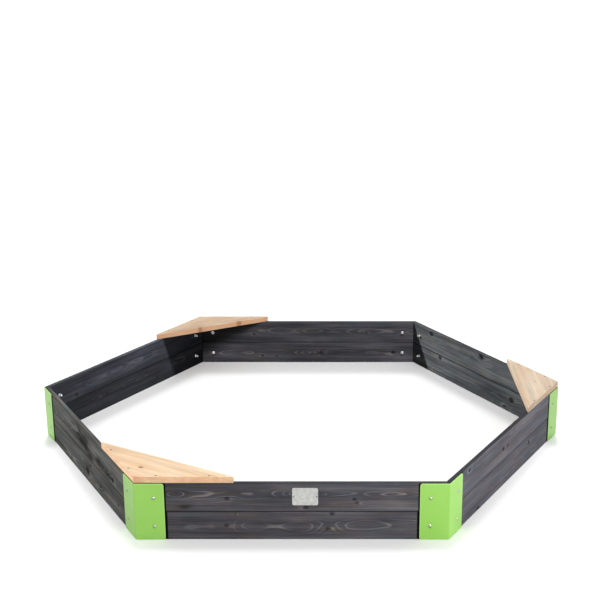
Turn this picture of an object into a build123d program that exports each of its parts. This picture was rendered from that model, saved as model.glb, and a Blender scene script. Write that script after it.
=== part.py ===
from build123d import *
from math import cos, radians, sin, sqrt, tan
import os

# A hexagonal timber sandpit frame for the garden.  Twelve mitred boards stand two high round
# six sides, six bent steel corner plates are bolted over the mitres, and three triangular
# seats lie on every second corner.  Millimetres, +Z up.  The origin is the middle of the
# footprint on the ground; the side with the name plate faces -Y and runs along X.

# ---- the hexagon -------------------------------------------------------------------------
SIDES = 6
ACROSS_CORNERS = 2000.0                       # outer faces of the boards, corner to corner
CORNER_RADIUS = ACROSS_CORNERS / 2
HALF_SIDE_ANGLE = 180.0 / SIDES
SIDE_LENGTH = 2 * CORNER_RADIUS * sin(radians(HALF_SIDE_ANGLE))
APOTHEM = CORNER_RADIUS * cos(radians(HALF_SIDE_ANGLE))

SIDE_NORMALS = {
    "front": 270.0,
    "right_front": 330.0,
    "right_back": 30.0,
    "back": 90.0,
    "left_back": 150.0,
    "left_front": 210.0,
}
CORNER_ANGLES = {
    "front_left": 240.0,
    "front_right": 300.0,
    "right": 0.0,
    "back_right": 60.0,
    "back_left": 120.0,
    "left": 180.0,
}

# ---- boards ------------------------------------------------------------------------------
BOARD_THICKNESS = 16.0
BOARD_HEIGHT = 98.5
BOARD_LAYERS = ("lower", "upper")
BOARD_EDGE_RADIUS = 2.5
MITRE_SETBACK = 1.8                           # along the outer face, at each end
WALL_HEIGHT = BOARD_HEIGHT * len(BOARD_LAYERS)

# ---- corner plates -----------------------------------------------------------------------
PLATE_THICKNESS = 3.0
PLATE_FLANGE = 94.0                           # from the boards' corner to the free edge
PLATE_GROUND_GAP = 1.0
PLATE_TOP_GAP = 1.5
PLATE_HEIGHT = WALL_HEIGHT - PLATE_GROUND_GAP - PLATE_TOP_GAP
PLATE_BEND_RADIUS = 3.0                       # inside of the bend
PLATE_CORNER_RADIUS = 8.0
PLATE_EDGE_RADIUS = 0.6

# ---- M6 button head bolts, washers and cap nuts ------------------------------------------
BOLT_FROM_CORNER = 60.0
BOLT_HEIGHTS = (47.0, 145.0)                  # lower and upper board
BOLT_RADIUS = 3.0
BOLT_LENGTH = 25.0                            # under the head
BOLT_HEAD_RADIUS = 5.5
BOLT_HEAD_HEIGHT = 3.3
BOLT_HEAD_RIM = 0.4
BOLT_SOCKET_ACROSS_FLATS = 4.0
BOLT_SOCKET_DEPTH = 2.1
BOLT_TIP_CHAMFER = 0.6
PLATE_HOLE_RADIUS = 3.3
BOARD_HOLE_RADIUS = 3.5

WASHER_RADIUS = 7.0
WASHER_HOLE_RADIUS = 3.2
WASHER_THICKNESS = 1.5
WASHER_EDGE_RADIUS = 0.4

NUT_ACROSS_FLATS = 10.0
NUT_HEX_HEIGHT = 5.0
NUT_HEX_CHAMFER = 0.5
NUT_HEIGHT = 12.0
NUT_DOME_RADIUS = 4.7
NUT_BORE_DEPTH = 8.0

# ---- seats -------------------------------------------------------------------------------
SEAT_CORNERS = ("front_left", "right", "back_left")
SEAT_LEG = 321.0                              # along each outer edge, to the sharp tip
SEAT_THICKNESS = 22.0
SEAT_TOP = WALL_HEIGHT + SEAT_THICKNESS
SEAT_TIP_CUT = 5.0                            # taken off each tip, along the inner edge
SEAT_CORNER_RADIUS = 1.6
SEAT_EDGE_RADIUS = 1.5

SCREW_FROM_CORNER = (70.0, 238.0)
SCREW_INSET = BOARD_THICKNESS / 2             # from the outer face
SCREW_HEAD_RADIUS = 4.0
SCREW_SHANK_RADIUS = 2.0
SCREW_LENGTH = 45.0
SCREW_POINT = 5.0
SCREW_SINK = 0.8                              # head below the top of the seat
SCREW_TOP = SEAT_TOP - SCREW_SINK
SCREW_CLEARANCE = 0.3
CROSS_SPAN = 4.6
CROSS_WIDTH = 0.9
CROSS_DEPTH = 1.3

# ---- name plate and its nails ------------------------------------------------------------
TAG_SIDE = "front"
TAG_WIDTH = 82.0
TAG_HEIGHT = 60.0
TAG_THICKNESS = 1.2
TAG_CORNER_RADIUS = 6.0
TAG_RIM = 3.0
TAG_PANEL_DEPTH = 0.3
TAG_ALONG = 41.5                              # from the middle of the side
TAG_ABOVE_GROUND = 150.6
NAIL_INSET = 4.6
NAIL_RADIUS = 1.0
NAIL_HEAD_RADIUS = 2.6
NAIL_HEAD_HEIGHT = 0.9
NAIL_LENGTH = 15.0                            # in the board


# ---- places ------------------------------------------------------------------------------
def side_plan(normal, height=0.0):
    """Level plane on a side's outer face: x along the side, y inwards, z up."""
    a = radians(normal)
    return Plane(
        origin=(APOTHEM * cos(a), APOTHEM * sin(a), height),
        x_dir=(-sin(a), cos(a), 0),
        z_dir=(0, 0, 1),
    )


def side_face(normal, along=0.0, height=0.0, out=0.0):
    """Upright plane parallel to a side's outer face: x along the side, y up, z outwards."""
    a = radians(normal)
    r = APOTHEM + out
    return Plane(
        origin=(r * cos(a) - along * sin(a), r * sin(a) + along * cos(a), height),
        x_dir=(-sin(a), cos(a), 0),
        z_dir=(cos(a), sin(a), 0),
    )


def corner_plan(angle, height):
    """Level plane at a corner of the outer faces: x outwards along the diagonal, z up."""
    a = radians(angle)
    return Plane(
        origin=(CORNER_RADIUS * cos(a), CORNER_RADIUS * sin(a), height),
        x_dir=(cos(a), sin(a), 0),
        z_dir=(0, 0, 1),
    )


def sides_at(corner_angle):
    """The normals of the two sides that meet at a corner, each with its end's sign there."""
    return (
        ((corner_angle - HALF_SIDE_ANGLE) % 360, 1),
        ((corner_angle + HALF_SIDE_ANGLE) % 360, -1),
    )


def bolt_places(corner_angle, out=0.0):
    """Upright planes on a corner's four bolt axes, z outwards."""
    along = SIDE_LENGTH / 2 - BOLT_FROM_CORNER
    places = []
    for normal, end in sides_at(corner_angle):
        for height in BOLT_HEIGHTS:
            places.append(side_face(normal, end * along, height, out))
    return places


def screw_places(normal, end):
    """Level planes at the heads of the two seat screws over one end of a side."""
    places = []
    for distance in SCREW_FROM_CORNER:
        along = end * (SIDE_LENGTH / 2 - distance)
        places.append(side_plan(normal, SCREW_TOP) * Pos(along, SCREW_INSET, 0))
    return places


def nail_places(out=0.0):
    """Upright planes on the two nail axes of the name plate, z outwards."""
    reach = TAG_WIDTH / 2 - NAIL_INSET
    normal = SIDE_NORMALS[TAG_SIDE]
    return [
        side_face(normal, TAG_ALONG + step, TAG_ABOVE_GROUND, out) for step in (-reach, reach)
    ]


# ---- fasteners, each in its own frame ----------------------------------------------------
def button_head_bolt():
    """A bolt along -Z, with the underside of its domed, socketed head at z = 0."""
    dome = BOLT_HEAD_HEIGHT - BOLT_HEAD_RIM
    ball = (BOLT_HEAD_RADIUS**2 + dome**2) / (2 * dome)
    middle = BOLT_HEAD_RADIUS / 2
    middle_height = BOLT_HEAD_HEIGHT - ball + sqrt(ball**2 - middle**2)
    with BuildPart() as bolt:
        with BuildSketch(Plane.XZ):
            with BuildLine():
                Polyline(
                    (0, BOLT_HEAD_HEIGHT),
                    (0, 0),
                    (BOLT_HEAD_RADIUS, 0),
                    (BOLT_HEAD_RADIUS, BOLT_HEAD_RIM),
                )
                ThreePointArc(
                    (BOLT_HEAD_RADIUS, BOLT_HEAD_RIM),
                    (middle, middle_height),
                    (0, BOLT_HEAD_HEIGHT),
                )
            make_face()
        revolve(axis=Axis.Z)
        with BuildSketch(Plane.XY):
            Circle(BOLT_RADIUS)
        extrude(amount=-BOLT_LENGTH)
        chamfer(bolt.edges().group_by(Axis.Z)[0], BOLT_TIP_CHAMFER)
        with BuildSketch(Plane.XY.offset(BOLT_HEAD_HEIGHT)):
            RegularPolygon(BOLT_SOCKET_ACROSS_FLATS / 2, 6, major_radius=False)
        extrude(amount=-BOLT_SOCKET_DEPTH, mode=Mode.SUBTRACT)
    return bolt.part


def flat_washer():
    """A washer from z = 0 down, its eased edge below."""
    with BuildPart() as washer:
        with BuildSketch(Plane.XY):
            Circle(WASHER_RADIUS)
            Circle(WASHER_HOLE_RADIUS, mode=Mode.SUBTRACT)
        extrude(amount=-WASHER_THICKNESS)
        lower_edges = washer.edges().group_by(Axis.Z)[0]
        fillet(lower_edges.sort_by(SortBy.LENGTH)[-1], WASHER_EDGE_RADIUS)
    return washer.part


def cap_nut():
    """A domed nut from z = 0 down, its dome at the bottom and its blind bore open above."""
    corner = NUT_ACROSS_FLATS / sqrt(3)
    with BuildPart() as nut:
        with BuildSketch(Plane.XY):
            RegularPolygon(NUT_ACROSS_FLATS / 2, 6, major_radius=False)
        extrude(amount=-NUT_HEX_HEIGHT)
        with BuildSketch(Plane.XZ):
            with BuildLine():
                Polyline(
                    (0, 0),
                    (corner, 0),
                    (corner, NUT_HEX_CHAMFER - NUT_HEX_HEIGHT),
                    (corner - NUT_HEX_CHAMFER * sqrt(3), -NUT_HEX_HEIGHT),
                    (0, -NUT_HEX_HEIGHT),
                    close=True,
                )
            make_face()
        revolve(axis=Axis.Z, mode=Mode.INTERSECT)
        with BuildSketch(Plane.XZ):
            with BuildLine():
                Polyline(
                    (0, NUT_DOME_RADIUS - NUT_HEIGHT),
                    (0, -NUT_HEX_CHAMFER),
                    (NUT_DOME_RADIUS, -NUT_HEX_CHAMFER),
                    (NUT_DOME_RADIUS, NUT_DOME_RADIUS - NUT_HEIGHT),
                )
                CenterArc((0, NUT_DOME_RADIUS - NUT_HEIGHT), NUT_DOME_RADIUS, 0, -90)
                Line((0, -NUT_HEIGHT), (0, NUT_DOME_RADIUS - NUT_HEIGHT))
            make_face()
        revolve(axis=Axis.Z)
        with BuildSketch(Plane.XY):
            Circle(BOLT_RADIUS)
        extrude(amount=-NUT_BORE_DEPTH, mode=Mode.SUBTRACT)
    return nut.part


def countersunk_body(clearance=0.0):
    """The turned shape of a countersunk screw along -Z, grown by a clearance."""
    head = SCREW_HEAD_RADIUS + clearance
    shank = SCREW_SHANK_RADIUS + clearance
    with BuildPart() as body:
        with BuildSketch(Plane.XZ):
            with BuildLine():
                Polyline(
                    (0, 0),
                    (head, 0),
                    (shank, shank - head),
                    (shank, SCREW_POINT - SCREW_LENGTH),
                    (0, -SCREW_LENGTH),
                    close=True,
                )
            make_face()
        revolve(axis=Axis.Z)
    return body.part


def wood_screw():
    """A countersunk screw with a cross recess, its head at z = 0."""
    with BuildPart() as screw:
        add(countersunk_body())
        with BuildSketch(Plane.XY):
            Rectangle(CROSS_SPAN, CROSS_WIDTH)
            Rectangle(CROSS_WIDTH, CROSS_SPAN)
        extrude(amount=-CROSS_DEPTH, mode=Mode.SUBTRACT)
    return screw.part


def screw_cutter():
    """What a seat loses to one screw, up through the seat's top."""
    with BuildPart() as cutter:
        add(countersunk_body(SCREW_CLEARANCE))
        with BuildSketch(Plane.XY):
            Circle(SCREW_HEAD_RADIUS + SCREW_CLEARANCE)
        extrude(amount=2 * SCREW_SINK)
    return cutter.part


def round_nail():
    """A flat-headed nail along -Z, the underside of its head at z = 0."""
    with BuildPart() as nail:
        with BuildSketch(Plane.XY):
            Circle(NAIL_HEAD_RADIUS)
        extrude(amount=NAIL_HEAD_HEIGHT)
        fillet(nail.edges().group_by(Axis.Z)[-1], NAIL_HEAD_HEIGHT / 2)
        with BuildSketch(Plane.XY):
            Circle(NAIL_RADIUS)
        extrude(amount=-(NAIL_LENGTH + TAG_THICKNESS))
    return nail.part


def copies(piece, places):
    """One node of identical pieces, a separate solid at each place."""
    with BuildPart() as group:
        with Locations(*places):
            add(piece)
    return group


# ---- wooden and sheet metal parts --------------------------------------------------------
def make_board(side, layer):
    """One mitred board, bored for its bolts and for what is fixed to it."""
    normal = SIDE_NORMALS[side]
    level = BOARD_LAYERS.index(layer)
    plan = side_plan(normal, level * BOARD_HEIGHT)
    outer = SIDE_LENGTH / 2 - MITRE_SETBACK
    inner = outer - BOARD_THICKNESS * tan(radians(HALF_SIDE_ANGLE))
    bolt_along = SIDE_LENGTH / 2 - BOLT_FROM_CORNER
    with BuildPart() as board:
        with BuildSketch(plan):
            with BuildLine():
                Polyline(
                    (-outer, 0),
                    (outer, 0),
                    (inner, BOARD_THICKNESS),
                    (-inner, BOARD_THICKNESS),
                    close=True,
                )
            make_face()
        extrude(amount=BOARD_HEIGHT)
        fillet(board.edges().filter_by(Axis(plan.origin, plan.x_dir)), BOARD_EDGE_RADIUS)
        with BuildSketch(side_face(normal, 0, BOLT_HEIGHTS[level])):
            with Locations((-bolt_along, 0), (bolt_along, 0)):
                Circle(BOARD_HOLE_RADIUS)
        extrude(amount=-BOARD_THICKNESS, mode=Mode.SUBTRACT)
        if layer == "upper":
            for corner in SEAT_CORNERS:
                for seat_side, end in sides_at(CORNER_ANGLES[corner]):
                    if seat_side == normal:
                        with Locations(*screw_places(normal, end)):
                            add(countersunk_body(), mode=Mode.SUBTRACT)
        if layer == "upper" and side == TAG_SIDE:
            with BuildSketch(*nail_places()):
                Circle(NAIL_RADIUS)
            extrude(amount=-NAIL_LENGTH, mode=Mode.SUBTRACT)
    return board


def make_corner_plate(corner_angle):
    """A sheet steel plate bent over a mitre and bored for its four bolts."""
    turn = radians(180 - 2 * HALF_SIDE_ANGLE)
    lean = radians(HALF_SIDE_ANGLE)
    inside = (PLATE_FLANGE * cos(turn), PLATE_FLANGE * sin(turn))
    outside = (
        inside[0] + PLATE_THICKNESS * cos(lean),
        inside[1] + PLATE_THICKNESS * sin(lean),
    )
    nose = (PLATE_THICKNESS / cos(lean), 0)
    with BuildPart() as plate:
        with BuildSketch(corner_plan(corner_angle, PLATE_GROUND_GAP)):
            with BuildLine():
                FilletPolyline(
                    inside,
                    (0, 0),
                    (inside[0], -inside[1]),
                    radius=PLATE_BEND_RADIUS,
                )
                FilletPolyline(
                    outside,
                    nose,
                    (outside[0], -outside[1]),
                    radius=PLATE_BEND_RADIUS + PLATE_THICKNESS,
                )
                Line(inside, outside)
                Line((inside[0], -inside[1]), (outside[0], -outside[1]))
            make_face()
        extrude(amount=PLATE_HEIGHT)
        end_edges = plate.edges().filter_by(lambda e: abs(e.length - PLATE_THICKNESS) < 0.01)
        fillet(end_edges, PLATE_CORNER_RADIUS)
        broad_faces = plate.faces().sort_by(SortBy.AREA)[-6:]
        broad_edges = [edge for face in broad_faces for edge in face.edges()]
        rim = [edge for edge in broad_edges if broad_edges.count(edge) == 1]
        fillet(rim, PLATE_EDGE_RADIUS)
        with BuildSketch(*bolt_places(corner_angle)):
            Circle(PLATE_HOLE_RADIUS)
        extrude(amount=PLATE_THICKNESS, mode=Mode.SUBTRACT)
    return plate


def make_seat(corner_angle):
    """A triangular seat board with blunted tips, flush with the walls' outer faces."""
    lean = radians(HALF_SIDE_ANGLE)
    depth = SEAT_LEG * sin(lean)
    tip = SEAT_LEG * cos(lean) - SEAT_TIP_CUT
    with BuildPart() as seat:
        with BuildSketch(corner_plan(corner_angle, WALL_HEIGHT)):
            with BuildLine():
                Polyline(
                    (0, 0),
                    (-tip * tan(lean), tip),
                    (-depth, tip),
                    (-depth, -tip),
                    (-tip * tan(lean), -tip),
                    close=True,
                )
            make_face()
        extrude(amount=SEAT_THICKNESS)
        fillet(seat.edges().filter_by(Axis.Z), SEAT_CORNER_RADIUS)
        level_faces = seat.faces().filter_by(Axis.Z)
        fillet(level_faces.edges(), SEAT_EDGE_RADIUS)
        for normal, end in sides_at(corner_angle):
            with Locations(*screw_places(normal, end)):
                add(screw_cutter(), mode=Mode.SUBTRACT)
    return seat


def make_name_plate():
    """A blank plate with a raised rim, pinned to the middle of the front."""
    normal = SIDE_NORMALS[TAG_SIDE]
    with BuildPart() as tag:
        with BuildSketch(side_face(normal, TAG_ALONG, TAG_ABOVE_GROUND)):
            RectangleRounded(TAG_WIDTH, TAG_HEIGHT, TAG_CORNER_RADIUS)
        extrude(amount=TAG_THICKNESS)
        with BuildSketch(side_face(normal, TAG_ALONG, TAG_ABOVE_GROUND, TAG_THICKNESS)):
            RectangleRounded(
                TAG_WIDTH - 4 * NAIL_INSET,
                TAG_HEIGHT - 2 * TAG_RIM,
                TAG_CORNER_RADIUS - TAG_RIM,
            )
        extrude(amount=-TAG_PANEL_DEPTH, mode=Mode.SUBTRACT)
        with BuildSketch(*nail_places()):
            Circle(NAIL_RADIUS)
        extrude(amount=TAG_THICKNESS, mode=Mode.SUBTRACT)
    return tag


# ---- the assembly ------------------------------------------------------------------------
def write(piece, name):
    """Label one finished piece and write its STEP file."""
    piece.part.label = name
    export_step(piece.part, f"parts/{name}.step")


os.makedirs("parts", exist_ok=True)

for side_name in SIDE_NORMALS:
    for layer_name in BOARD_LAYERS:
        write(make_board(side_name, layer_name), f"{side_name}_{layer_name}_board")

bolt_shape = button_head_bolt()
washer_shape = flat_washer()
nut_shape = cap_nut()
for corner_name, corner in CORNER_ANGLES.items():
    inside_face = -BOARD_THICKNESS
    write(make_corner_plate(corner), f"{corner_name}_corner_plate")
    write(copies(bolt_shape, bolt_places(corner, PLATE_THICKNESS)), f"{corner_name}_bolts")
    write(copies(washer_shape, bolt_places(corner, inside_face)), f"{corner_name}_washers")
    nut_places = bolt_places(corner, inside_face - WASHER_THICKNESS)
    write(copies(nut_shape, nut_places), f"{corner_name}_cap_nuts")

screw_shape = wood_screw()
for corner_name in SEAT_CORNERS:
    corner = CORNER_ANGLES[corner_name]
    screw_axes = [place for side_end in sides_at(corner) for place in screw_places(*side_end)]
    write(make_seat(corner), f"{corner_name}_seat")
    write(copies(screw_shape, screw_axes), f"{corner_name}_seat_screws")

write(make_name_plate(), "name_plate")
write(copies(round_nail(), nail_places(TAG_THICKNESS)), "name_plate_nails")
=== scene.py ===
"""A hexagonal timber sandpit: looks, floor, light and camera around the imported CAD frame.

Every CAD node keeps its shape. The boards and seats get procedural pine whose growth rings run
through the solid wood and bend round knots, the corner plates powder coat, and the fasteners and
the name plate bare metal. Lengths are metres and angles are degrees.
"""

from dataclasses import dataclass
from math import cos, pi, radians, sin

import bpy
from mathutils import Matrix, Vector


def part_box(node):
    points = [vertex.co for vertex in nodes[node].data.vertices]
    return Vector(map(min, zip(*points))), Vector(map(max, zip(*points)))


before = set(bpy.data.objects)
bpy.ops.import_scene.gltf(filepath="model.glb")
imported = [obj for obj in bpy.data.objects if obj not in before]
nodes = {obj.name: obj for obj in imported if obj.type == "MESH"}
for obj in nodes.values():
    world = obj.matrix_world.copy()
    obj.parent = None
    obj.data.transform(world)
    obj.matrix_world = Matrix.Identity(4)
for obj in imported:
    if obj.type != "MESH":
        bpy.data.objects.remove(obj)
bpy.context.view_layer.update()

MM = 0.001

# The direction that each side faces and that each corner points to, round from +X.
SIDE_HEADINGS = {
    "front": 270,
    "right_front": 330,
    "right_back": 30,
    "back": 90,
    "left_back": 150,
    "left_front": 210,
}
CORNER_HEADINGS = {
    "front_left": 240,
    "front_right": 300,
    "right": 0,
    "back_right": 60,
    "back_left": 120,
    "left": 180,
}
LAYERS = ("lower", "upper")
SEAT_CORNERS = ("front_left", "right", "back_left")


# ---- node graphs -------------------------------------------------------------------------
class Graph:
    """A material's node tree. Each call adds one node and returns the socket that it makes."""

    def __init__(self, name):
        self.material = bpy.data.materials.new(name)
        self.material.use_nodes = True
        self.tree = self.material.node_tree
        self.shader = self.tree.nodes["Principled BSDF"]

    def node(self, kind, inputs=(), out=0, **settings):
        made = self.tree.nodes.new(kind)
        for key, value in settings.items():
            setattr(made, key, value)
        for key, value in dict(inputs).items():
            self.feed(made.inputs[key], value)
        return made.outputs[out]

    def feed(self, socket, value):
        if isinstance(value, bpy.types.NodeSocket):
            self.tree.links.new(value, socket)
        else:
            socket.default_value = value

    def math(self, operation, a, b=0.0):
        return self.node("ShaderNodeMath", {0: a, 1: b}, operation=operation)

    def add(self, a, b):
        return self.math("ADD", a, b)

    def sub(self, a, b):
        return self.math("SUBTRACT", a, b)

    def mul(self, a, b):
        return self.math("MULTIPLY", a, b)

    def swing(self, noise, reach):
        """A noise of 0..1 taken to -reach/2..reach/2."""
        return self.mul(self.sub(noise, 0.5), reach)

    def scaled(self, vector, x, y, z):
        """A vector stretched along each axis."""
        inputs = {0: vector, 1: (x, y, z)}
        return self.node("ShaderNodeVectorMath", inputs, operation="MULTIPLY")

    def split(self, vector):
        made = self.tree.nodes.new("ShaderNodeSeparateXYZ")
        self.feed(made.inputs[0], vector)
        return made.outputs[0], made.outputs[1], made.outputs[2]

    def join(self, x, y, z):
        return self.node("ShaderNodeCombineXYZ", {0: x, 1: y, 2: z})

    def noise(self, vector, scale, detail=2.0, roughness=0.5):
        inputs = {"Vector": vector, "Scale": scale, "Detail": detail, "Roughness": roughness}
        return self.node("ShaderNodeTexNoise", inputs)

    def streaks(self, vector, along, across, detail=2.0, roughness=0.5):
        """Noise drawn out along x, from how often it changes along x and across it."""
        return self.noise(self.scaled(vector, along, across, across), 1.0, detail, roughness)

    def remap(self, value, low, high, to_low=0.0, to_high=1.0, smooth=True):
        """A value's range low..high taken to to_low..to_high, and held outside it."""
        inputs = {0: value, 1: low, 2: high, 3: to_low, 4: to_high}
        kind = "SMOOTHSTEP" if smooth else "LINEAR"
        return self.node("ShaderNodeMapRange", inputs, interpolation_type=kind)

    def ramp(self, value, *stops):
        """Colours along a value: stops are (position, (r, g, b))."""
        made = self.tree.nodes.new("ShaderNodeValToRGB")
        self.feed(made.inputs[0], value)
        elements = made.color_ramp.elements
        while len(elements) < len(stops):
            elements.new(0.5)
        for element, (position, colour) in zip(elements, stops):
            element.position = position
            element.color = (*colour, 1.0)
        return made.outputs[0]

    def mix(self, share, a, b, blend="MIX"):
        """Colour b laid over colour a."""
        made = self.tree.nodes.new("ShaderNodeMix")
        made.data_type = "RGBA"
        made.blend_type = blend
        for socket, value in ((0, share), (6, a), (7, b)):
            if isinstance(value, tuple):
                value = (*value, 1.0)
            self.feed(made.inputs[socket], value)
        return made.outputs[2]

    def tinted(self, colour, tint):
        return self.mix(1.0, colour, tint, "MULTIPLY")

    def dimmed(self, colour, share):
        return self.tinted(colour, self.join(share, share, share))

    def bump(self, height, distance, strength):
        inputs = {"Height": height, "Distance": distance, "Strength": strength}
        return self.node("ShaderNodeBump", inputs)

    def finish(self, colour, roughness, normal=None, specular=0.5, metallic=0.0):
        """Wire the shader; specular and metallic are the same all over."""
        self.feed(self.shader.inputs["Base Color"], colour)
        self.feed(self.shader.inputs["Roughness"], roughness)
        if normal is not None:
            self.feed(self.shader.inputs["Normal"], normal)
        self.shader.inputs["Specular IOR Level"].default_value = specular
        self.shader.inputs["Metallic"].default_value = metallic
        return self.material


def wear(node_name, material):
    """Give a CAD node one material."""
    slots = nodes[node_name].data.materials
    slots.clear()
    slots.append(material)


# ---- wood --------------------------------------------------------------------------------
@dataclass
class Timber:
    """One board's grain, in millimetres from the board's middle: its log's middle runs along it,
    in front of or behind its face, with bellies where the log bows towards the face. Along is
    anticlockwise round the object, seen from above, and on a seat across its corner."""

    seed: int
    pith_height: float
    pith_depth: float
    lean: float = 0.0             # of the log's middle, in millimetres per metre
    spacing: float = 5.0          # of the growth rings
    figure: float = 0.5           # how strongly the rings show
    contrast: float = 1.0         # between its light and dark streaks
    fade: tuple = (1.0, 1.0)      # how much lighter or darker the board is towards each end
    edge: float = 0.7             # how much lighter or darker the top edge is, as painted light and shade; on a seat, how warm the arrises are
    bellies: tuple = ()           # (along, rise, half length)
    knots: tuple = ()             # (along, height, size, how far along its pale side lies)
    knot_depth: float = 0.88      # how dark the knots are
    sheen: float = 0.1            # the shader's specular level
    seam: float = 1.0             # how dark the painted shade in the groove beside the other board is
    blotches: tuple = ()          # (along, height, half length, half height, strength)


# How far apart the noise of two boards lies, for each step of the seed.
SEED_STEP = 3.7, 1.3, 2.1

# How far a log wanders: up and down, slowly and quickly, and in and out.
SLOW_DRIFT, QUICK_DRIFT, SWAY = 26 * MM, 8 * MM, 26 * MM

# A knot's half length and half height for each unit of its size: the rings that it pushes
# aside, its dark core and the pale wood beside it.
KNOT_BULGE = 6.0, 2.4
KNOT_CORE = 1.7, 1.2
KNOT_PALE = 1.6, 0.9
KNOT_PUSH = 0.9               # how far the rings move
KNOT_PALE_DROP = 0.3          # how far below the knot its pale side lies
KNOT_RAGGED = 0.70            # how uneven a core's outline is
KNOT_EDGE = 0.30, 0.80        # where a core's outline fades out and is full

# Where across the rings the saw cut runs flat enough for them to show, and where it is too steep.
FLAT_CUT = 0.15, 0.65


def bell(g, along, height, at, up, half_length, half_height):
    """1 at a point on the board's face, falling off round it as a bell curve."""
    across = g.math("DIVIDE", g.sub(along, at), half_length)
    rise = g.math("DIVIDE", g.sub(height, up), half_height)
    return g.math("EXPONENT", g.mul(g.add(g.mul(across, across), g.mul(rise, rise)), -1.0))


def spot(g, along, height, at, up, half_length, half_height):
    """A bell from millimetres."""
    return bell(g, along, height, at * MM, up * MM, half_length * MM, half_height * MM)


def log_radius(g, local, along, depth, height, timber):
    """How far a point is from the middle of its log, and how far above it."""
    slow = g.noise(g.scaled(local, 1.0, 2.0, 3.0), 2.2, 1.0)
    quick = g.noise(g.scaled(local, 1.0, 2.0, 4.0), 11.0, 2.0)
    drift = g.add(g.swing(slow, SLOW_DRIFT), g.swing(quick, QUICK_DRIFT))
    sway = g.swing(g.noise(g.scaled(local, 1.0, 0.5, 0.5), 5.0, 2.0), SWAY)
    up = g.sub(g.add(height, drift), timber.pith_height * MM)
    back = g.add(g.add(depth, g.mul(along, timber.lean * MM)), sway)
    back = g.sub(back, timber.pith_depth * MM)
    facing = 1 if timber.pith_depth > 0 else -1
    for at, rise, half in timber.bellies:
        bow = bell(g, along, 0.0, at * MM, 0.0, half * MM, 1.0)
        back = g.add(back, g.mul(bow, facing * rise * MM))
    return g.math("SQRT", g.add(g.mul(up, up), g.mul(back, back))), up


def grain(g, centre, heading, timber, lies_flat=False):
    """A board's own coordinates and what its log does there: rings, knots, pale sides, blotches.
    A board that lies flat shows its broad face upwards, and its height is measured inwards."""
    place = g.node("ShaderNodeTexCoord", out=3)
    own = g.node(
        "ShaderNodeMapping",
        {"Vector": place, "Location": centre, "Rotation": (0, 0, radians(heading + 90))},
        vector_type="TEXTURE",
    )
    steps = tuple(timber.seed * step for step in SEED_STEP)
    along, depth, height = g.split(own)
    if lies_flat:
        height, depth = depth, g.mul(height, -1.0)
        local = g.join(g.add(along, steps[0]), depth, g.add(height, steps[2]))
    else:
        local = g.node("ShaderNodeVectorMath", {0: own, 1: steps}, operation="ADD")
    radius, up = log_radius(g, local, along, depth, height, timber)
    wobble = g.swing(g.noise(local, 110.0, 3.0, 0.6), 1.1)
    knot, pale, blotch, near_knot = 0.0, 0.0, 0.0, 0.0
    for at, rise, size, pale_side in timber.knots:
        bulge = spot(g, along, height, at, rise, *(size * k for k in KNOT_BULGE))
        radius = g.add(radius, g.mul(bulge, KNOT_PUSH * size * MM))
        near_knot = g.math("MAXIMUM", near_knot, bulge)
        core = spot(g, along, height, at, rise, *(size * k for k in KNOT_CORE))
        core = g.remap(g.add(core, g.mul(wobble, KNOT_RAGGED)), *KNOT_EDGE)
        knot = g.math("MAXIMUM", knot, core)
        if pale_side:
            beside = at + pale_side, rise - KNOT_PALE_DROP * size
            side = spot(g, along, height, *beside, *(size * k for k in KNOT_PALE))
            pale = g.math("MAXIMUM", pale, side)
    for at, rise, half_length, half_height, strength in timber.blotches:
        dark = g.mul(spot(g, along, height, at, rise, half_length, half_height), strength)
        blotch = g.math("MAXIMUM", blotch, g.math("MINIMUM", dark, 1.0))
    uneven = g.noise(g.join(g.mul(radius, 60.0), timber.seed, 0.0), 1.0, 2.0)
    rings = g.add(g.math("DIVIDE", radius, timber.spacing * MM), g.mul(uneven, 2.2))
    steep = g.math("DIVIDE", g.math("ABSOLUTE", up), radius)
    return {
        "local": local,
        "along": along,
        "depth": depth,
        "height": height,
        "phase": g.math("FRACT", rings),
        "flat": g.remap(steep, *FLAT_CUT, 1.0, 0.0),
        "knot": knot,
        "near_knot": near_knot,
        "pale": pale,
        "blotch": blotch,
    }


def latewood(g, phase, start, peak, end):
    """The dense dark half of each growth ring: it builds up slowly and stops short."""
    return g.ramp(
        phase,
        (0.0, (0.0,) * 3),
        (start, (0.12,) * 3),
        (peak, (1.0,) * 3),
        (end, (0.65,) * 3),
        (1.0, (0.0,) * 3),
    )


# The stain from its darkest streaks to its lightest, where an even board lies between them, and
# how its hue drifts along a noise.
STAIN_TONES = (
    (0.0, (0.034, 0.033, 0.037)),
    (0.36, (0.074, 0.070, 0.075)),
    (0.70, (0.135, 0.124, 0.126)),
    (1.0, (0.225, 0.200, 0.185)),
)
EVEN_TONE = 0.36
STAIN_HUES = (
    (0.30, (0.88, 0.98, 1.05)),
    (0.43, (0.96, 0.98, 1.05)),
    (0.55, (1.04, 0.97, 1.01)),
    (0.68, (1.11, 1.01, 0.91)),
)
BLOTCH_DEPTH = 0.88
# How dark the painted shade in the groove and beside the plates is.
PAINTED_SHADE_DEPTH = 0.97

# Where the outer skin gives way to the core, below the outer face and below the top edge.
SKIN = 2.6 * MM, 3.4 * MM
ARRIS = 3.2 * MM, 2.2 * MM

# How wide the painted shadow beside the corner plates is, on the lower and the upper boards.
PLATE_SHADE_WIDTHS = 9.5 * MM, 6.5 * MM


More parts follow.
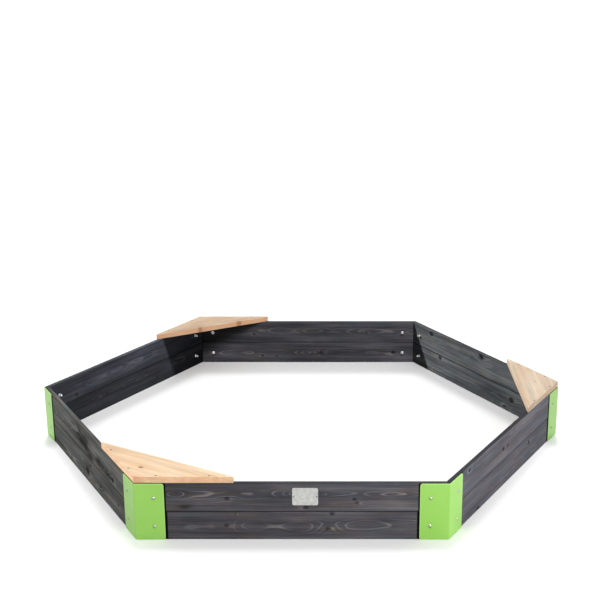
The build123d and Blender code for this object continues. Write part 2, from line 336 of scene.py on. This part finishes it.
def painted_groove_and_plate_shade(g, w, timber, level):
    """Painted shade: in the groove between the boards and beside each corner plate."""
    seam_side = g.mul(w["height"], -1.0 if level else 1.0)
    groove = g.remap(seam_side, GROOVE_START, GROOVE_START + 1.0 * MM)
    start = PLATE_END - PLATE_SHADE_WIDTHS[level]
    outer = -BOARD_THICKNESS / 2
    beside = g.mul(
        g.remap(g.math("ABSOLUTE", w["along"]), start, start + 3.0 * MM),
        g.remap(w["depth"], outer + 1.0 * MM, outer + 0.4 * MM),
    )
    return g.math("MAXIMUM", g.mul(groove, timber.seam), beside)


def stained_pine(name, centre, heading, timber, skin, core, level):
    """Planed pine under a dark grey stain: the hard latewood takes less of it, and the groove
    between the boards and the edge beside each corner plate get painted shade. The skin is the tint
    of the outer face, and the core that of the rest, which on the three far sides is painted shade.
    The level is 0 for a lower board, 1 for an upper one."""
    g = Graph(name)
    w = grain(g, centre, heading, timber)
    late = latewood(g, w["phase"], 0.68, 0.85, 0.93)
    patch = g.remap(g.noise(g.scaled(w["local"], 1.0, 3.0, 5.0), 4.5, 2.0), 0.42, 0.66)
    show = g.mul(g.add(g.mul(patch, 0.6), g.mul(w["flat"], 0.8)), timber.figure)
    show = g.add(g.math("MAXIMUM", show, g.mul(w["near_knot"], 0.7)), 0.10)
    band = g.streaks(w["local"], 0.9, 26.0, 2.0, 0.6)
    streak = g.streaks(w["local"], 3.0, 110.0, 3.0, 0.65)
    fibre = g.streaks(w["local"], 16.0, 900.0, 2.0, 0.6)
    smudge = g.streaks(w["local"], 7.0, 22.0)
    tone = g.add(
        g.add(g.mul(g.sub(g.mul(late, show), 0.08), 0.55), g.swing(band, 0.95)),
        g.add(g.swing(streak, 1.05), g.swing(fibre, 0.35)),
    )
    tone = g.add(tone, g.swing(smudge, 0.50))
    tone = g.mul(g.add(tone, g.mul(w["pale"], 0.35)), timber.contrast)
    hue = g.noise(g.scaled(w["local"], 1.6, 6.0, 12.0), 4.2, 3.0)
    stain = g.tinted(g.ramp(g.add(tone, EVEN_TONE), *STAIN_TONES), g.ramp(hue, *STAIN_HUES))
    half = BOARD_LENGTH / 2
    fade = g.remap(w["along"], -half, half, *timber.fade, smooth=False)
    in_core = g.remap(w["depth"], *(reach - BOARD_THICKNESS / 2 for reach in SKIN))
    if level:
        top = BOARD_HEIGHT / 2
        # Painted light and shade on the top face: it is made lighter or darker by the board's edge
        # factor.
        top_face = g.remap(w["height"], top - 2.0 * MM, top - 0.3 * MM)
        fade = g.mul(fade, g.remap(top_face, 0.0, 1.0, 1.0, timber.edge, smooth=False))
        above = g.remap(w["height"], *(top - reach for reach in ARRIS))
        in_core = g.math("MAXIMUM", in_core, above)
    # The core tint, on the three far sides, is painted shade.
    stain = g.dimmed(g.tinted(stain, g.mix(in_core, skin, core)), fade)
    mottle = g.remap(g.streaks(w["local"], 14.0, 40.0, 3.0), 0.30, 0.50)
    # Painted shade in the groove between the boards and beside each corner plate.
    painted_shade = painted_groove_and_plate_shade(g, w, timber, level)
    for share, darkness in (
        (g.mul(w["blotch"], mottle), BLOTCH_DEPTH),
        (w["knot"], timber.knot_depth),
        (painted_shade, PAINTED_SHADE_DEPTH),
    ):
        stain = g.dimmed(stain, g.sub(1.0, g.mul(share, darkness)))
    rough = g.remap(g.add(tone, 0.3), 0.0, 1.0, 0.72, 0.50, False)
    rough = g.math("MAXIMUM", rough, painted_shade)
    relief = g.add(g.mul(late, 0.6), g.add(g.mul(fibre, 0.35), g.mul(streak, 0.4)))
    relief = g.sub(relief, g.mul(w["knot"], 0.6))
    return g.finish(stain, rough, g.bump(relief, 0.35 * MM, 0.8), specular=timber.sheen)


# Bare pine: its early wood where it is pale and where it is warm, the dense lines of its rings,
# its arrises, the wood round its knots, resin blotches and the knots themselves.
PALE_WOOD, WARM_WOOD = (0.70, 0.52, 0.35), (0.66, 0.44, 0.27)
DENSE_WOOD = (0.47, 0.235, 0.110)
RIM_WOOD = (0.62, 0.30, 0.14)
KNOT_SIDE_WOOD = (0.50, 0.24, 0.10)
RESIN_WOOD = (0.52, 0.20, 0.11)
KNOT_WOOD = (0.15, 0.055, 0.032)
SEAT_RIM = 2.5 * MM


def natural_pine(name, centre, heading, timber, tint):
    """Bare planed pine: pale earlywood, amber latewood lines and red-brown knots."""
    g = Graph(name)
    w = grain(g, centre, heading, timber, lies_flat=True)
    late = latewood(g, w["phase"], 0.55, 0.88, 0.96)
    patch = g.remap(g.noise(g.scaled(w["local"], 1.0, 3.0, 5.0), 4.0, 2.0), 0.35, 0.7)
    streak = g.streaks(w["local"], 2.0, 60.0, 3.0, 0.6)
    fibre = g.streaks(w["local"], 18.0, 900.0, 2.0, 0.6)
    warm = g.noise(g.scaled(w["local"], 2.0, 9.0, 12.0), 2.5, 2.0)
    wood = g.mix(g.remap(warm, 0.35, 0.65), PALE_WOOD, WARM_WOOD)
    wood = g.mix(g.mul(late, g.add(0.25, g.mul(patch, 0.55))), wood, DENSE_WOOD)
    shade = g.add(g.mul(streak, 0.7), g.mul(fibre, 0.3))
    wood = g.dimmed(wood, g.remap(shade, 0.34, 0.66, 0.77, 1.11))
    half = SEAT_THICKNESS / 2
    rim = g.remap(g.math("ABSOLUTE", w["depth"]), half - SEAT_RIM, half, 1.0, 0.0)
    wood = g.mix(g.mul(rim, timber.edge), wood, RIM_WOOD)
    wood = g.mix(g.mul(w["near_knot"], 0.35), wood, KNOT_SIDE_WOOD)
    wood = g.mix(g.mul(w["blotch"], 0.6), wood, RESIN_WOOD)
    wood = g.tinted(wood, tint)
    wood = g.mix(g.mul(w["knot"], timber.knot_depth), wood, KNOT_WOOD)
    rough = g.remap(late, 0.0, 1.0, 0.62, 0.50, False)
    relief = g.add(g.mul(late, 0.4), g.add(g.mul(fibre, 0.4), g.mul(streak, 0.3)))
    return g.finish(wood, rough, g.bump(relief, 0.25 * MM, 0.7), specular=0.4)


# ---- metal -------------------------------------------------------------------------------
# The powder coat's two close greens, a painted highlight along the sheet's edges, and painted shade
# on its cut ends.
DEEP_GREEN, LIGHT_GREEN = (0.245, 0.515, 0.078), (0.266, 0.540, 0.092)
HIGHLIGHT_GREEN = (0.38, 0.62, 0.19)
SHADE_GREEN = (0.012, 0.030, 0.006)
BRIGHT_ALUMINIUM, DULL_ALUMINIUM = (0.63, 0.63, 0.60), (0.50, 0.50, 0.48)


def powder_coat(name):
    """Lime green powder coat: a semi-gloss skin with a fine orange peel, a painted highlight along
    the edges of the sheet, and painted shade on the cut ends that face along the boards."""
    g = Graph(name)
    place = g.node("ShaderNodeTexCoord", out=3)
    x, y, z = g.split(place)
    reach = g.math("SQRT", g.add(g.mul(x, x), g.mul(y, y)))
    half_side = radians(30)
    off_diagonal = g.math("PINGPONG", g.math("ARCTAN2", y, x), half_side)
    turn = g.sub(half_side, off_diagonal)
    along = g.mul(reach, g.math("SINE", turn))
    out = g.mul(reach, g.math("COSINE", turn))
    # Painted highlight along the sheet's free end and top edge.
    end_highlight = g.remap(along, PLATE_END + 5.0 * MM, PLATE_END + 1.5 * MM)
    top_highlight = g.remap(z, PLATE_TOP - 5.0 * MM, PLATE_TOP - 1.5 * MM)
    rim = g.math("MAXIMUM", end_highlight, top_highlight)
    # Painted shade on the cut ends.
    shaded_cut = g.mul(
        g.remap(along, PLATE_END + 0.8 * MM, PLATE_END + 0.3 * MM),
        g.remap(out, PLATE_FACE - 0.4 * MM, PLATE_FACE - 0.8 * MM),
    )
    cloud = g.noise(place, 9.0, 2.0)
    colour = g.mix(g.remap(cloud, 0.3, 0.7), DEEP_GREEN, LIGHT_GREEN)
    colour = g.mix(g.mul(rim, 0.5), colour, HIGHLIGHT_GREEN)
    colour = g.mix(g.mul(shaded_cut, 0.9), colour, SHADE_GREEN)
    peel = g.noise(place, 900.0, 2.0, 0.55)
    swell = g.noise(place, 240.0, 1.0)
    rough = g.remap(g.noise(place, 60.0, 3.0), 0.3, 0.7, 0.33, 0.42, False)
    normal = g.bump(g.add(g.mul(peel, 0.5), swell), 0.12 * MM, 0.6)
    return g.finish(colour, rough, normal, specular=0.4)


def plated_steel(name, colour, rough_low, rough_high):
    """Bare or plated steel with a faint cloudy tarnish."""
    g = Graph(name)
    place = g.node("ShaderNodeTexCoord", out=3)
    cloud = g.noise(place, 420.0, 3.0, 0.6)
    dull = tuple(0.8 * c for c in colour)
    tone = g.mix(g.remap(cloud, 0.35, 0.7), colour, dull)
    rough = g.remap(cloud, 0.3, 0.7, rough_low, rough_high, False)
    normal = g.bump(g.noise(place, 2600.0, 2.0), 0.02 * MM, 0.5)
    return g.finish(tone, rough, normal, metallic=1.0)


def plate_metal(name):
    """Rolled aluminium, satin, with faint vertical rolling marks and handling marks."""
    g = Graph(name)
    place = g.node("ShaderNodeTexCoord", out=3)
    cloud = g.noise(place, 90.0, 3.0, 0.6)
    roll = g.noise(g.scaled(place, 900.0, 900.0, 30.0), 1.0, 2.0)
    tone = g.mix(g.remap(cloud, 0.3, 0.7), BRIGHT_ALUMINIUM, DULL_ALUMINIUM)
    rough = g.remap(g.add(g.mul(cloud, 0.6), g.mul(roll, 0.4)), 0.3, 0.7, 0.36, 0.56, False)
    normal = g.bump(g.add(roll, g.mul(cloud, 2.0)), 0.06 * MM, 0.6)
    return g.finish(tone, rough, normal, metallic=0.85)


# ---- the object --------------------------------------------------------------------------
def middle(node_name):
    low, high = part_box(node_name)
    return (low + high) / 2


# How the stain took on each side, as a share of the plain dark grey. On the inside of the three far
# sides the boards are painted much darker, as painted shade, and the strongest lamps fall there.
OUTER_TINTS = {
    "front": (0.90, 0.93, 0.94),
    "right_front": (1.06, 1.12, 1.18),
    "right_back": (1.08, 1.14, 1.18),
    "back": (1.08, 1.13, 1.18),
    "left_back": (1.08, 1.13, 1.19),
    "left_front": (1.10, 1.20, 1.03),
}
INNER_STAIN_AND_SHADE_TINTS = {
    **OUTER_TINTS,
    # The far sides' insides: painted shade, much darker than their outsides.
    "right_back": (0.212, 0.250, 0.236),
    "back": (0.154, 0.163, 0.175),
    "left_back": (0.108, 0.128, 0.158),
}

SEAT_TINTS = {
    "front_left": (0.93, 0.98, 0.99),
    "right": (0.81, 0.93, 1.05),
    "back_left": (0.74, 0.79, 0.84),
}

# The logs that the boards were cut from. A positive pith depth turns a board's broad ring figure
# to the outer face, and a negative one to the inner face.
LOGS = {
    "front_lower_board": Timber(
        seed=3,
        pith_height=-2,
        pith_depth=30,
        lean=6,
        figure=0.6,
        contrast=0.9,
        fade=(0.66, 1.20),
        bellies=((-125, 8, 60), (25, 7, 50), (247, 8, 95)),
        knots=((-209, 0, 7, 9), (113, -10, 7.5, 12), (127, 41, 6.5, 0), (-181, 41, 3, 4)),
        knot_depth=0.62,
        seam=0.75,
    ),
    "front_upper_board": Timber(
        seed=5,
        pith_height=13,
        pith_depth=14,
        figure=1.2,
        contrast=0.8,
        fade=(0.68, 1.14),
        bellies=((45, 12, 70), (-364, 8, 34), (330, 5, 100)),
        knots=((-206, -5, 7, 8), (198, -7, 5.5, 0), (207, -19, 5.5, 8), (43, -34, 7, -14)),
        knot_depth=0.62,
        seam=0.75,
        blotches=((-342, -33, 26, 9, 0.8),),
    ),
    "right_front_lower_board": Timber(
        seed=8,
        pith_height=-20,
        pith_depth=40,
        lean=-30,
        figure=0.2,
        contrast=0.7,
        fade=(0.86, 1.0),
        knots=((203, 25, 8, 10), (-264, -42, 8, 0), (330, -10, 4, 6)),
        sheen=0.05,
        seam=0.6,
    ),
    "right_front_upper_board": Timber(
        seed=9,
        pith_height=30,
        pith_depth=36,
        lean=25,
        figure=0.2,
        contrast=0.65,
        fade=(1.18, 1.0),
        edge=0.35,
        knots=((-50, -4, 8, 9), (-10, -6, 5, 0), (-347, 32, 6, -10)),
        sheen=0.05,
        seam=0.6,
    ),
    "right_back_lower_board": Timber(
        seed=13,
        pith_height=-30,
        pith_depth=-50,
        lean=20,
        figure=0.2,
        contrast=1.15,
        fade=(0.84, 1.12),
        knots=((273, 38, 9, 0), (-241, 7, 12, 0), (-197, -34, 7, 0)),
        sheen=0.03,
        blotches=((-130, 0, 100, 45, 0.55), (-60, 44, 160, 9, 0.7), (120, -30, 70, 12, 0.5)),
    ),
    "right_back_upper_board": Timber(
        seed=14,
        pith_height=20,
        pith_depth=-52,
        lean=-25,
        figure=0.2,
        contrast=0.95,
        edge=0.85,
        knots=((345, 32, 11, 0), (-29, 34, 12, 0)),
        sheen=0.03,
        blotches=((-200, -44, 110, 12, 0.7), (60, 10, 70, 12, 0.5), (-29, 30, 40, 12, 0.4)),
    ),
    "back_lower_board": Timber(
        seed=17,
        pith_height=-3,
        pith_depth=-24,
        contrast=1.5,
        fade=(0.95, 0.85),
        bellies=((-392, 9, 45), (0, 7, 40), (190, 5, 110)),
        knots=((-59, -1, 7, 0), (-398, -1, 8, 0), (212, -17, 5, 5), (145, -17, 4, 0)),
    ),
    "back_upper_board": Timber(
        seed=18,
        pith_height=2,
        pith_depth=-28,
        lean=15,
        contrast=1.5,
        # Its fade is painted shade towards the corner under the back left seat.
        fade=(1.28, 0.42),
        edge=1.1,
        bellies=((-10, 6, 50), (-270, 6, 60)),
        knots=((-271, -1, 4, 5), (249, -9, 5, 6)),
        blotches=((50, 37, 90, 9, 0.7),),
    ),
    "left_back_lower_board": Timber(
        seed=21,
        pith_height=10,
        pith_depth=-40,
        lean=-25,
        contrast=1.5,
        fade=(0.76, 0.44),
        knots=((-156, -15, 7, 0), (170, 15, 5, 0)),
    ),
    "left_back_upper_board": Timber(
        seed=22,
        pith_height=0,
        pith_depth=-28,
        contrast=1.5,
        fade=(1.18, 0.84),
        bellies=((110, 7, 80), (-40, 5, 60)),
        knots=((345, -32, 7, 0),),
    ),
    "left_front_lower_board": Timber(
        seed=25,
        pith_height=-25,
        pith_depth=36,
        lean=30,
        fade=(1.18, 0.84),
        knots=((8, -5, 15, 22), (42, 28, 6, 0), (148, -9, 6, 0), (332, -2, 5, 0)),
        sheen=0.03,
        seam=0.45,
        blotches=((5, 12, 60, 26, 0.7), (150, -8, 60, 16, 0.7), (255, 12, 80, 12, 0.6)),
    ),
    "left_front_upper_board": Timber(
        seed=26,
        pith_height=-10,
        pith_depth=40,
        lean=-20,
        fade=(0.72, 1.20),
        edge=1.3,
        knots=((286, -28, 8, 22), (185, -22, 7, 0)),
        sheen=0.03,
        seam=0.45,
        blotches=(
            (-90, 14, 60, 26, 1.3),
            (-15, -2, 60, 30, 1.6),
            (45, -36, 40, 14, 1.1),
            (150, -18, 42, 20, 0.9),
            (235, -30, 40, 14, 0.8),
        ),
    ),
    "front_left_seat": Timber(
        seed=41,
        pith_height=-190,
        pith_depth=60,
        lean=40,
        spacing=4.5,
        edge=0.45,
        knots=((-26, -91, 6.5, 0),),
        blotches=((17, -158, 34, 14, 1.0), (30, -88, 45, 6, 0.7)),
    ),
    "right_seat": Timber(
        seed=42,
        pith_height=-140,
        pith_depth=60,
        lean=30,
        spacing=4.5,
        edge=0.25,
        knots=((1, 10, 2.5, 0),),
    ),
    "back_left_seat": Timber(
        seed=43,
        pith_height=60,
        pith_depth=55,
        lean=-35,
        spacing=4.5,
        edge=0.75,
        knots=((66, 1, 7, 0), (-125, 1, 8, 0)),
        knot_depth=0.6,
    ),
}

board_low, board_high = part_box("front_lower_board")
plate_low, plate_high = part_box("front_left_corner_plate")
seat_low, seat_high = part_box("front_left_seat")
BOARD_LENGTH = board_high.x - board_low.x
BOARD_HEIGHT = board_high.z - board_low.z
BOARD_THICKNESS = board_high.y - board_low.y
SEAT_THICKNESS = seat_high.z - seat_low.z
GROOVE_START = BOARD_HEIGHT / 2 - 2.3 * MM
BOARD_REACH = -(board_low.y + board_high.y) / 2   # from the object's middle to a board's
PLATE_END = -plate_high.x                     # along a side, from its middle
PLATE_TOP = plate_high.z
PLATE_FACE = -plate_low.y                     # of the side flanges, from the object's middle

for side, heading in SIDE_HEADINGS.items():
    for level, layer in enumerate(LAYERS):
        board = f"{side}_{layer}_board"
        tints = OUTER_TINTS[side], INNER_STAIN_AND_SHADE_TINTS[side]
        turn = radians(heading)
        place = BOARD_REACH * cos(turn), BOARD_REACH * sin(turn), middle(board).z
        wear(board, stained_pine(f"stained_{board}", place, heading, LOGS[board], *tints, level))

green = powder_coat("lime_powder_coat")
bright_zinc = plated_steel("bright_zinc", (0.72, 0.73, 0.74), 0.22, 0.38)
nail_steel = plated_steel("dark_nail_steel", (0.26, 0.25, 0.23), 0.35, 0.5)
# Bolt heads: grey steel painted darker and faintly green, as painted shade on the heads and the
# green plate painted in as a reflection.
painted_shade_bolt_steel = plated_steel("grey_bolt_steel", (0.46, 0.48, 0.43), 0.24, 0.34)
# Seat screws: dark brown, partly their own colour and partly painted shade in their sunk heads.
painted_shade_screw_steel = plated_steel("brown_screw_steel", (0.17, 0.11, 0.07), 0.40, 0.55)
for corner in CORNER_HEADINGS:
    wear(f"{corner}_corner_plate", green)
    wear(f"{corner}_bolts", painted_shade_bolt_steel)
    wear(f"{corner}_washers", bright_zinc)
    wear(f"{corner}_cap_nuts", bright_zinc)

for corner in SEAT_CORNERS:
    seat = f"{corner}_seat"
    heading = CORNER_HEADINGS[corner]
    tint = SEAT_TINTS[corner]
    wear(seat, natural_pine(f"bare_{seat}", middle(seat), heading, LOGS[seat], tint))
    wear(f"{corner}_seat_screws", painted_shade_screw_steel)

wear("name_plate", plate_metal("satin_aluminium"))
wear("name_plate_nails", nail_steel)


# ---- floor, light and camera -------------------------------------------------------------
FLOOR_HALF = 120.0
FLOOR_GREYS = (0.88,) * 3, (0.90,) * 3

# What the white surroundings give the object, and what the camera sees of them, as shares of
# full white.
AMBIENT, BACKDROP = 0.68, 1.1

# Level and square to the front, a little to its right, looking down.
CAMERA_PLACE = 0.1566, -4.1173, 1.7404
CAMERA_PITCH = 16.142
SENSOR_WIDTH, LENS = 36.0, 67.451             # millimetres
SHIFT = -0.0690
CLIP_END = 400.0


def make_floor():
    mesh = bpy.data.meshes.new("floor")
    corners = [(FLOOR_HALF * x, FLOOR_HALF * y, 0) for x, y in ((-1, -1), (1, -1), (1, 1), (-1, 1))]
    mesh.from_pydata(corners, [], [(0, 1, 2, 3)])
    floor = bpy.data.objects.new("floor", mesh)
    bpy.context.scene.collection.objects.link(floor)
    g = Graph("studio_floor")
    cloud = g.noise(g.node("ShaderNodeTexCoord", out=3), 3.0, 2.0)
    mesh.materials.append(g.finish(g.mix(cloud, *FLOOR_GREYS), 0.9, specular=0.1))
    return floor


def make_world():
    """White all round: the backdrop that the camera sees is brighter than the light it gives."""
    world = bpy.data.worlds.new("studio")
    world.use_nodes = True
    tree = world.node_tree
    background = tree.nodes["Background"]
    seen = tree.nodes.new("ShaderNodeLightPath").outputs["Is Camera Ray"]
    strength = tree.nodes.new("ShaderNodeMapRange")
    tree.links.new(seen, strength.inputs[0])
    strength.inputs[3].default_value = AMBIENT
    strength.inputs[4].default_value = BACKDROP
    tree.links.new(strength.outputs[0], background.inputs["Strength"])
    background.inputs["Color"].default_value = (1.0, 1.0, 1.0, 1.0)
    bpy.context.scene.world = world


def make_camera():
    data = bpy.data.cameras.new("camera")
    data.sensor_width = SENSOR_WIDTH
    data.lens = LENS
    data.shift_x = SHIFT
    data.clip_end = CLIP_END
    camera = bpy.data.objects.new("camera", data)
    bpy.context.scene.collection.objects.link(camera)
    tilt = Matrix.Rotation(radians(90 - CAMERA_PITCH), 4, "X")
    camera.matrix_world = Matrix.Translation(CAMERA_PLACE) @ tilt
    bpy.context.scene.camera = camera


def add_lamp(name, kind, power, direction, lit_only, blocked_by=None):
    """A lamp that shines along a direction. It lights one collection only, and where another is
    named, only that one casts its shadows."""
    data = bpy.data.lights.new(name, kind)
    data.energy = power
    lamp = bpy.data.objects.new(name, data)
    bpy.context.scene.collection.objects.link(lamp)
    lamp.rotation_mode = "QUATERNION"
    lamp.rotation_quaternion = direction.to_track_quat("-Z", "Y")
    lamp.light_linking.receiver_collection = lit_only
    if blocked_by is not None:
        lamp.light_linking.blocker_collection = blocked_by
    return lamp


def sun(name, towards, irradiance, width, lit_only, blocked_by=None):
    """A far lamp in a direction, so many degrees wide. A white surface that faces it gains that
    share of full white."""
    lamp = add_lamp(name, "SUN", irradiance * pi, -Vector(towards), lit_only, blocked_by)
    lamp.data.angle = radians(width)


def softbox(name, place, target, size, power, lit_only):
    """A round lamp near the object: its size in metres and its power in watts."""
    lamp = add_lamp(name, "AREA", power, Vector(target) - Vector(place), lit_only)
    lamp.data.shape = "DISK"
    lamp.data.size = size
    lamp.location = place


def group(name, members):
    """A collection of objects that a lamp is kept to."""
    made = bpy.data.collections.new(name)
    for member in members:
        made.objects.link(member)
    return made


def boards_of(*sides):
    return [nodes[f"{side}_{layer}_board"] for side in sides for layer in LAYERS]


def nuts_of(*corners):
    kinds = "washers", "cap_nuts"
    return [nodes[f"{corner}_{kind}"] for corner in corners for kind in kinds]


def named(*starts):
    return [node for name, node in nodes.items() if name.startswith(starts)]


floor = make_floor()
make_world()
whole = group("whole", nodes.values())
ground = group("ground", [floor])
right_back = group("right_back", boards_of("right_back"))
left_back = group("left_back", boards_of("left_back"))
back = group("back", boards_of("back"))
far_nuts = group("far_nuts", nuts_of("left", "back_left", "back_right", "right"))
near_right = group("near_right", named("right_front", "front_"))
near_left_seat = group("near_left_seat", [nodes["front_left_seat"]])
right_seat = group("right_seat", [nodes["right_seat"]])
far_seat = group("far_seat", [nodes["back_left_seat"]])
near_sides = group("near_sides", boards_of("front", "right_front", "left_front"))
far_sides = group("far_sides", boards_of("back", "right_back", "left_back"))

# The soft shadows on the floor in front of the near sides and inside the far ones.
sun("near_shadow", (-0.03, 1.0, 2.6), 0.31, 14.0, ground, near_sides)
sun("far_shadow", (-0.03, 1.0, 1.2), 0.45, 16.0, ground, far_sides)

# The whole object, from behind and from above.
sun("key_behind", (-0.05, 1.0, 2.3), 0.44, 14.0, whole)
sun("overhead", (0.0, -0.32, 1.0), 0.33, 8.0, whole)

# The insides of the far sides, with a crisp wedge of shadow beside a corner and below a seat.
sun("side_left", (-3.1, 1.2, 2.07), 8.4, 2.5, right_back)
sun("over_seat", (0.5435, 0.104, 1.0), 6.6, 4.0, left_back)
sun("back_panel", (0.2, -1.0, 1.15), 4.4, 25.0, back)
sun("nut_light", (0.1, -1.0, 0.9), 0.8, 25.0, far_nuts, near_sides)

# The seats' edges.
sun("seat_left", (-1.0, -0.35, 0.25), 0.6, 10.0, near_left_seat)
sun("seat_right", (-1.0, -0.35, 0.25), 0.6, 10.0, right_seat)
sun("seat_back", (0.3, -1.0, 0.3), 0.55, 10.0, far_seat)

# The near right part of the object, and cards that lift the shade on the floor outside the left
# and right corners.
softbox("fill_right", (2.2, -2.2, 1.4), (0.6, -0.6, 0.1), 1.2, 40.0, near_right)
softbox("card_left", (-1.4, -0.3, 0.5), (-1.04, -0.12, 0.0), 0.4, 1.6, ground)
softbox("card_right", (1.4, -0.3, 0.5), (1.04, -0.12, 0.0), 0.4, 1.8, ground)
make_camera()
bpy.context.scene.view_settings.view_transform = "Standard"
